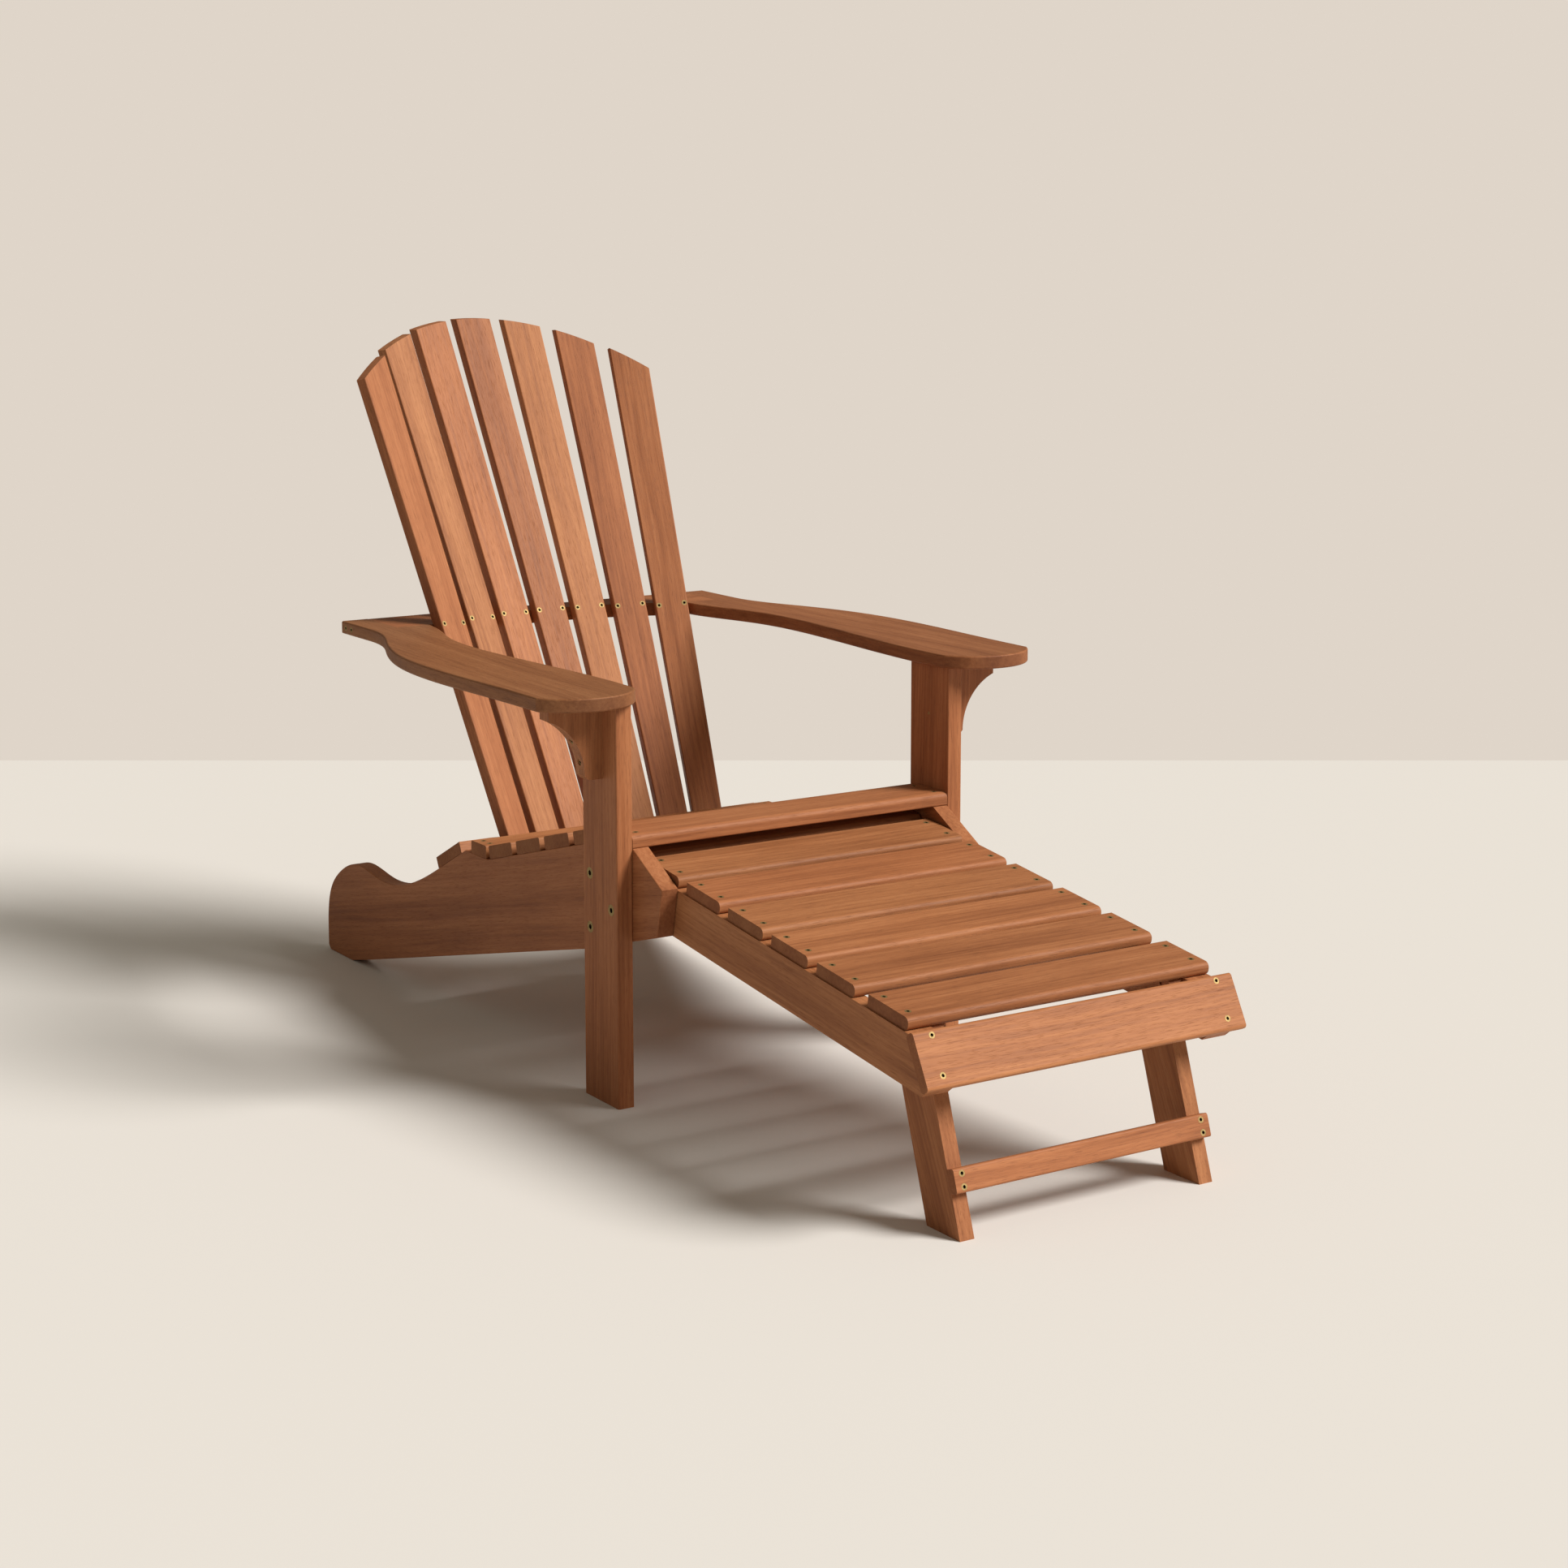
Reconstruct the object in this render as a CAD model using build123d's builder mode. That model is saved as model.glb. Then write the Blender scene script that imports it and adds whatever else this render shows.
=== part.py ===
from build123d import *
import os
from math import asin, cos, hypot, radians, sin, tan

# Adirondack chair with a footrest that slides in under the seat.
# Millimetres. X runs across the chair, +Y to its back, +Z up, floor at Z = 0.
# Every Y below is measured from the front face of the front posts and moved by datum_y,
# which puts the origin under the middle of the whole chair with its footrest out.

os.makedirs("parts", exist_ok=True)

# ---------------------------------------------------------------- driving dimensions
# Stock
frame_board = 23.0        # side rails, front posts and corbels
slat_board = 18.0         # seat slats, back slats, arms and braces
edge_ease = 2.0           # rounding on the long edges of every slat
end_gap = 0.2             # at each end of a board that fits between two others

# Chair frame
seat_width = 490.0        # between the front posts, and over the outside of the side rails
post_depth = 87.0
arm_top = 542.0           # height of the arms' upper face
seat_slope = 15.1         # fall of the seat towards the back, degrees
front_seat_level = 336.5  # underside of the front seat slat
front_flat = 64.0         # level stretch of the rail's top under that slat
shelf_start = 401.0       # level shelf in the rail's top for the rear seat slat
shelf_length = 68.0
ramp_slope = 26.5         # slope of the rail's top under the lower brace, degrees
ramp_length = 94.0
rail_length = 944.0       # post front to the back of the rear foot
foot_length = 79.0        # flat of the rear foot on the floor
foot_height = 34.0        # upright stretch at the back of the rear foot
hump_height = 153.0       # top of the hump over the rear foot
nose_reach = 72.0         # the rail's nose ahead of the posts
nose_drop = 39.5          # height lost along the nose's slanted top
nose_rake = 13.0          # the nose's face leans back this far at its lower end
nose_face = 63.0          # height of the nose's face
rail_depth_at_post = 148.0  # depth of the rail at the back of the posts
belly_run = 43.0          # lowest point of the rail's belly behind the posts
belly_drop = 10.0         # and below its depth there
foot_bevel = 7.0          # on both lower corners of the rear foot
belly_end_run = 58.0      # the belly's straight underside ends this far ahead of the foot
belly_end_rise = 13.5
hump_reach = 104.0        # the hump, valley and shoulder ahead of the rail's end
valley_reach = 190.0
valley_drop = 6.0         # below the top of the hump
shoulder_reach = 39.0
shoulder_drop = 28.0
rail_ease = 1.5           # rounding of the outer face's edges
post_bolt_places = [(70.0, 295.0), (70.0, 224.5), (15.6, 257.0)]

# Seat
front_slat_width = 74.0
front_slat_nose = 8.0     # rounding of the front slat's front edges
seat_slat_width = 69.0
seat_slat_round = 3.0
seat_slat_pitch = 83.4
seat_slat_count = 4
first_seat_slat = 85.0    # front edge of the first sloping slat
rear_slat_width = 45.0
rear_slat_start = 405.0

# Back
back_height = 965.0
back_low_z = 260.0        # level at which the lower fan arc is given
back_low_y = 500.0        # middle slat's face at that level
back_low_radius = 570.0
back_low_margin = 88.8    # outer slats' middles inside the rails' outer faces, on that arc
back_low_gap = 8.7        # between slats on that arc
brace_arc_y = 656.6       # middle slat's face at the upper brace
brace_arc_radius = 405.0
brace_arc_margin = 64.0
brace_arc_gap = 12.9
back_slat_count = 7
back_slat_tail = 36.0     # slat length below the lower fan arc
crown_radius = 410.0      # arch over the tops of the back slats
brace_back = 732.0        # rear edge of the upper brace and of the arms
brace_reach = 21.0        # ends of the upper brace outside the rails' outer faces
brace_gap = 0.3           # between each brace's hollow and the nearest slat's back
lower_brace_start = 13.0  # its front edge down the ramp
lower_brace_width = 82.0
lower_brace_board = 16.0
brace_horn = 12.0         # from the outer slats' corners to the brace's square front edge
brace_screw_edge = 20.5

# Arms and corbels
arm_neck_reach = 61.0     # outer edge of the neck outside the rails' outer faces
arm_reach = 140.0         # outer edge of the arm, where it is widest
arm_lap = 7.0             # inner edge of the arm inside the rails' outer faces
arm_front = 40.0          # overhang ahead of the posts
arm_side_start = 2.0      # where its long sides meet its rounded front
neck_step = 23.0          # the arm reaches in this far to the back slats
neck_start = 640.0
neck_notch = 632.0        # front edge of the upper brace's end
neck_screw_gaps = (13.0, 32.0)
arm_round = 2.5           # rounding along the arm's edges
arm_inner_corner = 8.0    # rounding of its front corners in plan
arm_outer_corner = 3.0
corbel_set_back = 33.0    # its front face behind the post's
corbel_reach = 77.0
corbel_tip = 20.0         # upright edge under the arm
corbel_curve = 74.0       # height of its hollow curve
corbel_foot = 26.0        # thickness out from the post at the curve's lower end
corbel_foot_bevel = 6.0
dowel_radius = 4.0        # blind dowels from each post into the arm
dowel_length = 30.0
dowel_in_arm = 10.0
dowel_places = (20.0, 67.0)
dowel_clearance = 0.05

# Footrest
rest_slope = 7.1          # fall of the footrest towards its front when it is out, degrees
rest_level = 319.0        # its upper face at the post front
rest_under_seat = 20.0    # drop below the rails' sloping top when it is put away
rest_side_gap = 1.0       # between its rails and the chair's rails
rest_board = 20.0         # footrest rails and legs
rest_rail_height = 62.0
rest_slat_board = 16.0
rest_slat_width = 79.0
rest_slat_pitch = 98.0
rest_slat_count = 5
rest_slat_inset = 2.0     # slat ends inside the rails' outer faces
rest_first_front = 101.0  # front edge of the first slat, from the rear rod
rest_batten_width = 32.0
batten_screw_back = 22.4
rest_nose = 7.0           # rounding of the slats' front edges
rest_tail = 27.0          # rails behind the rear rod
rod_depth = 40.0          # rear rod below the footrest's upper face
rod_radius = 6.0
groove_depth = 8.0
groove_clearance = 0.3
rod_end_play = 1.0
pivot_clearance = 0.05
apron_angle = 34.9        # apron against the square end of the footrest, degrees
apron_height = 67.5
apron_board = 14.0
apron_overhang = 12.0     # beyond the slat ends
apron_round = 4.5
apron_reach = 623.0       # top front edge of the apron, from the rear rod
apron_rise = 35.4         # and above it
apron_gap = 13.0          # from the last slat to the apron
apron_screw_drops = (7.0, 53.0)
rail_bevel = 12.0
stop_gap = 1.0            # apron to the chair's nose when the footrest is put away

# Legs of the footrest
leg_width = 60.0
leg_lean = 18.4           # foot ahead of the pivot, degrees from upright
leg_pivot_reach = 557.0   # pivot from the rear rod, along the footrest
leg_pivot_drop = 9.0
leg_gap = 0.6             # between a leg and its block
block_board = 16.0
block_length = 130.0
block_screw_gaps = (-38.0, 40.0)
pivot_radius = 4.0
pivot_head_radius = 8.0
pivot_head = 4.0
pivot_end_play = 0.5
stretcher_height = 28.0
stretcher_board = 13.0
stretcher_drop = 159.5    # from the pivot along the leg
stretcher_overhang = 1.0
stretcher_round = 3.0
stretcher_screw_edge = 6.4
cleat_depth = 14.0
cleat_height = 44.0
cleat_gap = 0.5
cleat_drop = 8.0          # its middle below the pivot, along the leg

# Fasteners
screw_head_radius = 4.0
screw_radius = 2.0
screw_sink_angle = 82.0
screw_length = 34.0
screw_clearance = 0.1
hole_end = 1.0            # a hole goes past its screw's tip
screw_recess_radius = 1.5
screw_recess = 2.0
screw_access = 4.0        # cleared above each head
screw_inset = 12.5        # from a slat's end
screw_front = 19.0        # from a footrest slat's front edge
screw_rear = 13.0         # and from its rear edge
seat_screw_edge = 14.0    # from a seat slat's long edges
rear_screw_edge = 13.0    # from the rear seat slat's
back_screw_edge = 5.5     # from a back slat's long edges
screw_bite = 5.0          # depth in a brace at which the screw crosses its middle
long_screw = 50.0         # for the corbels and the arms' necks
corbel_screw_tilt = 12.0  # degrees up from level
corbel_screw_sink = 1.5
corbel_screw_rise = (44.0, 16.0)
bolt_head_radius = 7.5
bolt_head = 3.0
bolt_radius = 3.5
bolt_recess_radius = 2.5
bolt_recess = 2.0
insert_radius = 6.0
insert_length = 15.0

# ---------------------------------------------------------------- worked-out values
half_seat = seat_width / 2
rail_inner = half_seat - frame_board
post_height = arm_top - slat_board
slope = radians(seat_slope)
ramp = radians(ramp_slope)
out = radians(rest_slope)
flare = radians(apron_angle)
lean = radians(leg_lean)

shelf_level = front_seat_level - (shelf_start - front_flat) * tan(slope)
shelf_end = shelf_start + shelf_length
ramp_end = (shelf_end + ramp_length * cos(ramp), shelf_level - ramp_length * sin(ramp))

# The rear rod lies on two lines, one below the footrest's upper face when it is out
# and one below it when it is put away.
stored_level = front_seat_level + front_flat * tan(slope) - rest_under_seat
rod_y = (stored_level - rest_level - rod_depth * (1 / cos(slope) - 1 / cos(out))) / (tan(slope) + tan(out))
rod_z = rest_level + rod_y * tan(out) - rod_depth / cos(out)


def rest_point(reach, rise):
    """Y and Z of a point of the footrest, given along it from the rear rod and above it."""
    return (rod_y - reach * cos(out) - rise * sin(out), rod_z - reach * sin(out) + rise * cos(out))


# Apron, in the footrest's own reach and rise.
face_down = (sin(flare), -cos(flare))
face_out = (cos(flare), sin(flare))
apron_top = (apron_reach, apron_rise)
apron_low = (apron_reach + apron_height * face_down[0], apron_rise + apron_height * face_down[1])
apron_back_top = (apron_top[0] - apron_board * face_out[0], apron_top[1] - apron_board * face_out[1])
apron_back_low = (apron_low[0] - apron_board * face_out[0], apron_low[1] - apron_board * face_out[1])
rest_rail_top = rod_depth - rest_slat_board
rest_rail_low = rest_rail_top - rest_rail_height


def end_reach(rise):
    """Reach of the footrest rail's slanted front end at a height."""
    return apron_back_top[0] + (apron_back_top[1] - rise) * tan(flare)


# The footrest travels until its apron's back meets the nose of the chair's rails.
nose = (-nose_reach, front_seat_level - nose_drop)
stored_out = (-cos(slope) * face_out[0] + sin(slope) * face_out[1],
              sin(slope) * face_out[0] + cos(slope) * face_out[1])
apron_plane = apron_back_top[0] * face_out[0] + apron_back_top[1] * face_out[1]
nose_plane = (nose[0] - rod_y) * stored_out[0] + (nose[1] - rod_z) * stored_out[1]
rest_travel = (apron_plane - nose_plane - stop_gap) / cos(flare)

# Middle of the whole chair, from the back of its feet to the rounded foot of the apron.
apron_tilt = flare - out
front_end = rest_point(*apron_low)[0] + apron_round * (sin(apron_tilt) + cos(apron_tilt) - 1)
datum_y = -(rail_length + front_end) / 2


# ---------------------------------------------------------------- working planes
def side_plane(x):
    """Upright plane along the chair: first axis to the back, second up."""
    return Plane(origin=(x, datum_y, 0), x_dir=(0, 1, 0), z_dir=(1, 0, 0))


def seat_plane(x):
    """Side plane whose first axis runs down the sloping seat, from the rails' top."""
    return Plane(
        origin=(x, datum_y + front_flat, front_seat_level),
        x_dir=(0, cos(slope), -sin(slope)),
        z_dir=(1, 0, 0),
    )


def rest_plane(x):
    """Side plane of the footrest: first axis to its front, second out of its upper face."""
    return Plane(origin=(x, datum_y + rod_y, rod_z), x_dir=(0, -cos(out), -sin(out)), z_dir=(-1, 0, 0))


def leg_plane(x):
    """Side plane of a leg: first axis down the leg from its pivot, second to its front."""
    y, z = rest_point(leg_pivot_reach, -leg_pivot_drop)
    return Plane(origin=(x, datum_y + y, z), x_dir=(0, -sin(lean), -cos(lean)), z_dir=(-1, 0, 0))


def ramp_plane(x):
    """Side plane whose first axis runs down the ramp that carries the lower brace."""
    return Plane(
        origin=(x, datum_y + shelf_end, shelf_level),
        x_dir=(0, cos(ramp), -sin(ramp)),
        z_dir=(1, 0, 0),
    )


def facing(x, y, z, outward):
    """Place for a screw head, with its own Z pointing out of the wood."""
    across = (0, 0, 1) if abs(outward[2]) < 0.5 else (1, 0, 0)
    plane = Plane(origin=(x, datum_y + y, z), x_dir=across, z_dir=outward)
    return plane.location


def on_plane(plane, first, second):
    """Screw place on a side plane, facing along its second axis."""
    origin = plane.from_local_coords((first, second, 0))
    return Plane(origin=origin, x_dir=plane.z_dir, z_dir=plane.y_dir).location


# ---------------------------------------------------------------- fastener tools
def sink_screws(places, length=screw_length):
    """Countersunk clearance holes in the board that is under the heads."""
    with Locations(*places):
        CounterSinkHole(
            radius=screw_radius + screw_clearance,
            counter_sink_radius=screw_head_radius + screw_clearance,
            depth=length + hole_end,
            counter_sink_angle=screw_sink_angle,
        )
        Cylinder(
            screw_head_radius + screw_clearance, screw_access,
            align=(Align.CENTER, Align.CENTER, Align.MIN), mode=Mode.SUBTRACT,
        )


def pilot_holes(places, length=screw_length):
    """Holes for the screws' threads in the board behind."""
    with Locations(*places):
        Hole(radius=screw_radius + screw_clearance, depth=length + hole_end)


def make_screws(places, label, length=screw_length):
    """One node of brass countersunk screws, each its own solid."""
    head_height = (screw_head_radius - screw_radius) / tan(radians(screw_sink_angle / 2))
    with BuildPart() as screws:
        with Locations(*places):
            Cylinder(screw_radius, length, align=(Align.CENTER, Align.CENTER, Align.MAX))
            Cone(
                screw_radius, screw_head_radius, head_height,
                align=(Align.CENTER, Align.CENTER, Align.MAX),
            )
            Hole(radius=screw_recess_radius, depth=screw_recess)
    write(screws, label)


def write(builder, label):
    """Labels a finished piece and writes its file."""
    builder.part.label = label
    export_step(builder.part, f"parts/{label}.step")


sides = {"left": -1, "right": 1}

# ---------------------------------------------------------------- side rails
# Long boards on edge. Each one is the rear leg, carries the seat on its sloping top and
# the lower brace on its ramp, and holds the groove that the footrest's rear rod runs in.
front_low = (-nose_reach + nose_rake, front_seat_level - nose_drop - nose_face)
belly_front = (post_depth + belly_run, front_seat_level - rail_depth_at_post - belly_drop)
foot_front = rail_length - foot_length - foot_bevel
valley = (rail_length - valley_reach, hump_height - valley_drop)
rear_shoulder = (rail_length - shoulder_reach, hump_height - shoulder_drop)
first_run = (first_seat_slat - front_flat) / cos(slope)
seat_runs = [first_run + seat_slat_pitch * number for number in range(seat_slat_count)]


def edge_pair(start, width, inset):
    """Two places across a board, each the same distance in from its long edges."""
    return (start + inset, start + width - inset)


def level_screw_places(side, start, width, level, inset):
    """Screws at one end of a level seat slat."""
    x = side * (half_seat - screw_inset)
    return [facing(x, y, level + slat_board, (0, 0, 1)) for y in edge_pair(start, width, inset)]


def front_slat_screws(side):
    """Screws at one end of the front seat slat."""
    return level_screw_places(side, 0, front_slat_width, front_seat_level, seat_screw_edge)


def rear_slat_screws(side):
    """Screws at one end of the rear seat slat."""
    return level_screw_places(side, rear_slat_start, rear_slat_width, shelf_level, rear_screw_edge)


def sloping_slat_screws(side, run):
    """Screws at one end of a sloping seat slat."""
    plane = seat_plane(side * (half_seat - screw_inset))
    return [on_plane(plane, place, slat_board) for place in edge_pair(run, seat_slat_width, seat_screw_edge)]


def rail_screw_places(side):
    """Every seat screw that enters the rail on one side."""
    places = front_slat_screws(side) + rear_slat_screws(side)
    for run in seat_runs:
        places += sloping_slat_screws(side, run)
    return places


def brace_screw_places(side):
    """Screw places in the lower brace that enter the rail on one side."""
    plane = ramp_plane(side * (half_seat - screw_inset))
    runs = edge_pair(lower_brace_start, lower_brace_width, brace_screw_edge)
    return [on_plane(plane, run, lower_brace_board) for run in runs]


for name, side in sides.items():
    with BuildPart() as rail:
        with BuildSketch(side_plane(side * (half_seat - frame_board / 2))):
            with BuildLine():
                Polyline(
                    ramp_end,
                    (shelf_end, shelf_level),
                    (shelf_start, shelf_level),
                    (front_flat, front_seat_level),
                    (0, front_seat_level),
                    nose,
                    front_low,
                    belly_front,
                    (foot_front - belly_end_run, belly_end_rise),
                    (foot_front, 0),
                    (rail_length - foot_bevel, 0),
                    (rail_length, foot_bevel),
                    (rail_length, foot_height),
                )
                Spline(
                    ramp_end,
                    valley,
                    (rail_length - hump_reach, hump_height),
                    rear_shoulder,
                    (rail_length, foot_height),
                    tangents=[(cos(ramp), -sin(ramp)), (0, -1)],
                )
            make_face()
        extrude(amount=frame_board / 2, both=True)
        outer_face = rail.faces().filter_by(Axis.X).sort_by(Axis.X)[-1 if side > 0 else 0]
        fillet(outer_face.outer_wire().edges(), rail_ease)
        with BuildSketch(side_plane(side * (rail_inner + groove_depth / 2))):
            middle = (rod_y + rest_travel / 2 * cos(slope), rod_z - rest_travel / 2 * sin(slope))
            with Locations(middle):
                SlotCenterToCenter(rest_travel, 2 * (rod_radius + groove_clearance), rotation=-seat_slope)
        extrude(amount=groove_depth / 2, both=True, mode=Mode.SUBTRACT)
        pilot_holes(rail_screw_places(side) + brace_screw_places(side))
        with Locations(*[facing(side * half_seat, y, z, (side, 0, 0)) for y, z in post_bolt_places]):
            Hole(radius=insert_radius, depth=insert_length)
    write(rail, f"side_rail_{name}")

# ---------------------------------------------------------------- front posts
# Upright boards outside the rails, bolted through into threaded inserts in the rails.
post_face = half_seat + frame_board
corbel_low = post_height - corbel_tip - corbel_curve
corbel_across = corbel_reach - corbel_foot
corbel_radius = (corbel_across**2 + corbel_curve**2) / (2 * corbel_across)


def dowel_holes(side):
    """Places at the post's top for the dowels that hold the arm."""
    return [facing(side * (half_seat + frame_board / 2), y, post_height, (0, 0, 1)) for y in dowel_places]


def corbel_screws(side):
    """Screws through the corbel's hollow edge into the post's outer face."""
    tilt = radians(corbel_screw_tilt)
    places = []
    for rise in corbel_screw_rise:
        reach = corbel_foot + corbel_radius - (corbel_radius**2 - rise**2) ** 0.5 - corbel_screw_sink
        x = side * (post_face + reach)
        outward = (side * cos(tilt), 0, -sin(tilt))
        places.append(facing(x, corbel_set_back + frame_board / 2, corbel_low + rise, outward))
    return places


for name, side in sides.items():
    with BuildPart() as post:
        with BuildSketch(side_plane(side * (half_seat + frame_board / 2))):
            with Locations((post_depth / 2, post_height / 2)):
                Rectangle(post_depth, post_height)
        extrude(amount=frame_board / 2, both=True)
        fillet(post.edges().filter_by(Axis.Z), edge_ease)
        pilot_holes(corbel_screws(side), long_screw)
        with Locations(*dowel_holes(side)):
            Hole(radius=dowel_radius + dowel_clearance, depth=dowel_length - dowel_in_arm)
        with Locations(*[facing(side * post_face, y, z, (side, 0, 0)) for y, z in post_bolt_places]):
            CounterBoreHole(
                radius=bolt_radius + screw_clearance,
                counter_bore_radius=bolt_head_radius + screw_clearance,
                counter_bore_depth=bolt_head,
                depth=frame_board + hole_end,
            )
    write(post, f"front_post_{name}")

# ---------------------------------------------------------------- corbels
# Concave quarter brackets under the arms, on the posts' outer faces.
for name, side in sides.items():
    with BuildPart() as corbel:
        root = side * post_face
        tip = root + side * corbel_reach
        toe = root + side * corbel_foot
        middle_y = datum_y + corbel_set_back + frame_board / 2
        with BuildSketch(Plane(origin=(0, middle_y, 0), x_dir=(1, 0, 0), z_dir=(0, -1, 0))):
            with BuildLine():
                Polyline(
                    (toe, corbel_low),
                    (toe - side * corbel_foot_bevel, corbel_low - corbel_foot_bevel),
                    (root, corbel_low - corbel_foot_bevel),
                    (root, post_height),
                    (tip, post_height),
                    (tip, post_height - corbel_tip),
                )
                RadiusArc((tip, post_height - corbel_tip), (toe, corbel_low), -side * corbel_radius)
            make_face()
        extrude(amount=frame_board / 2, both=True)
        sink_screws(corbel_screws(side), long_screw)
    write(corbel, f"corbel_{name}")

# ---------------------------------------------------------------- arms
# Paddle-shaped boards. Each narrows in an S to a squared neck, rebated on its inner edge
# to take the end of the upper brace.
arm_inner = half_seat - arm_lap
arm_widest = half_seat + arm_reach
arm_neck_outer = half_seat + arm_neck_reach
brace_end = half_seat + brace_reach
neck_inner = arm_inner - neck_step
arm_outer_line = [
    (arm_neck_outer, neck_start),
    (arm_neck_outer + 35, 508),
    (arm_widest - 11, 400),
    (arm_widest, 209),
    (arm_widest - 6, arm_side_start),
]
arm_inner_line = [
    (arm_inner, arm_side_start),
    (arm_inner, 120),
    (arm_inner + 15, 320),
    (arm_inner + 8, 500),
    (neck_inner + 3, 605),
    (neck_inner, neck_notch - 4),
]
arm_neck_line = [
    arm_inner_line[-1],
    (neck_inner, neck_notch),
    (brace_end, neck_notch),
    (brace_end, brace_back),
    (arm_neck_outer, brace_back),
    arm_outer_line[0],
]
arm_tip = ((arm_inner + arm_widest) / 2 - 2, -arm_front)


def arm_points(side, points):
    """Points of the arm's outline on one side of the chair."""
    return [(side * x, datum_y + y) for x, y in points]


def neck_screw_places(side):
    """Screws through the neck's edge into the end of the upper brace."""
    z = arm_top - slat_board / 2
    return [facing(side * arm_neck_outer, brace_back - gap, z, (side, 0, 0)) for gap in neck_screw_gaps]


for name, side in sides.items():
    with BuildPart() as arm:
        with BuildSketch(Plane.XY.offset(post_height)):
            with BuildLine():
                Spline(*arm_points(side, arm_outer_line), tangents=[(0, -1), (0, -1)])
                ThreePointArc(*arm_points(side, (arm_outer_line[-1], arm_tip, arm_inner_line[0])))
                Spline(*arm_points(side, arm_inner_line))
                Polyline(*arm_points(side, arm_neck_line))
            make_face()
        extrude(amount=slat_board)
        front_corners = arm.edges().filter_by(Axis.Z).sort_by(Axis.Y)[:2].sort_by(Axis.X)
        fillet(front_corners[0 if side > 0 else 1], arm_inner_corner)
        fillet(front_corners[1 if side > 0 else 0], arm_outer_corner)
        for face in arm.faces().filter_by(Axis.Z):
            curves = face.outer_wire().edges().filter_by(GeomType.LINE, reverse=True)
            fillet(curves, arm_round)
        sink_screws(neck_screw_places(side), long_screw)
        with Locations(*dowel_holes(side)):
            Cylinder(
                dowel_radius + dowel_clearance, dowel_in_arm,
                align=(Align.CENTER, Align.CENTER, Align.MIN), mode=Mode.SUBTRACT,
            )
    write(arm, f"arm_{name}")

# ---------------------------------------------------------------- seat slats
# The front slat is level with a rounded nose, the next ones follow the rails' slope and
# the rear one lies level on the rails' shelf.
with BuildPart() as front_slat:
    with BuildSketch(side_plane(0)):
        with Locations((front_slat_width / 2, front_seat_level + slat_board / 2)):
            Rectangle(front_slat_width, slat_board)
    extrude(amount=half_seat - end_gap, both=True)
    fillet(front_slat.edges().filter_by(Axis.X).group_by(Axis.Y)[0].sort_by(Axis.Z)[-1], front_slat_nose)
    fillet(front_slat.edges().filter_by(Axis.X).group_by(Axis.Y)[0].sort_by(Axis.Z)[0], edge_ease)
    sink_screws([p for side in (-1, 1) for p in front_slat_screws(side)])
write(front_slat, "seat_slat_front")

for number, run in enumerate(seat_runs):
    with BuildPart() as slat:
        with BuildSketch(seat_plane(0)):
            with Locations((run + seat_slat_width / 2, slat_board / 2)):
                Rectangle(seat_slat_width, slat_board)
        extrude(amount=half_seat, both=True)
        fillet(slat.edges().filter_by(Axis.X), seat_slat_round)
        sink_screws([p for side in (-1, 1) for p in sloping_slat_screws(side, run)])
    write(slat, f"seat_slat_{number + 1}")

with BuildPart() as rear_slat:
    with BuildSketch(side_plane(0)):
        with Locations((rear_slat_start + rear_slat_width / 2, shelf_level + slat_board / 2)):
            Rectangle(rear_slat_width, slat_board)
    extrude(amount=half_seat, both=True)
    fillet(rear_slat.edges().filter_by(Axis.X), seat_slat_round)
    sink_screws([p for side in (-1, 1) for p in rear_slat_screws(side)])
write(rear_slat, "seat_slat_rear")
make_screws([p for side in (-1, 1) for p in rail_screw_places(side)], "seat_screws")

# ---------------------------------------------------------------- back slats
# A fan of tapered slats on two hollow braces, cut to an arch along the top.
brace_z = arm_top - slat_board / 2
fan_half = (back_slat_count - 1) / 2
back_low_step = asin((half_seat - back_low_margin) / back_low_radius) / fan_half
brace_arc_step = asin((half_seat - brace_arc_margin) / brace_arc_radius) / fan_half
back_slat_width = 2 * back_low_radius * sin(back_low_step / 2) - back_low_gap
brace_slat_width = 2 * brace_arc_radius * sin(brace_arc_step / 2) - brace_arc_gap
back_slat_taper = (brace_slat_width - back_slat_width) / hypot(brace_z - back_low_z, brace_arc_y - back_low_y)


def back_slat_frame(number):
    """Foot, up direction, across direction and face normal of one back slat."""
    place = number - fan_half
    low_turn = place * back_low_step
    top_turn = place * brace_arc_step
    low_set_back = back_low_radius * (1 - cos(low_turn))
    top_set_back = brace_arc_radius * (1 - cos(top_turn))
    low = Vector(back_low_radius * sin(low_turn), back_low_y - low_set_back, back_low_z)
    top = Vector(brace_arc_radius * sin(top_turn), brace_arc_y - top_set_back, brace_z)
    up = (top - low).normalized()
    turn = (low_turn + top_turn) / 2
    level = Vector(cos(turn), -sin(turn), 0)
    face = level.cross(up).normalized()
    across = up.cross(face).normalized()
    return low + Vector(0, datum_y, 0), up, across, face


def back_slat_half(run):
    """Half width of a back slat at a distance up it from the lower fan arc."""
    return (back_slat_width + back_slat_taper * run) / 2


def run_to(plane, number, depth):
    """Distance up a slat at which a line square to its face, from its middle, is on a plane at a depth."""
    low, up, across, face = back_slat_frame(number)
    start = low - face * depth
    return (plane.origin - start).dot(plane.z_dir) / up.dot(plane.z_dir)


def back_point(plane, number, edge):
    """Where the back of a slat crosses a plane, at its middle (edge 0) or at an edge, in the plane's axes."""
    low, up, across, face = back_slat_frame(number)
    start = low - face * slat_board + across * edge * back_slat_half(run_to(plane, number, slat_board))
    run = (plane.origin - start).dot(plane.z_dir) / up.dot(plane.z_dir)
    point = plane.to_local_coords(start + up * run)
    return (point.X, point.Y)


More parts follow.
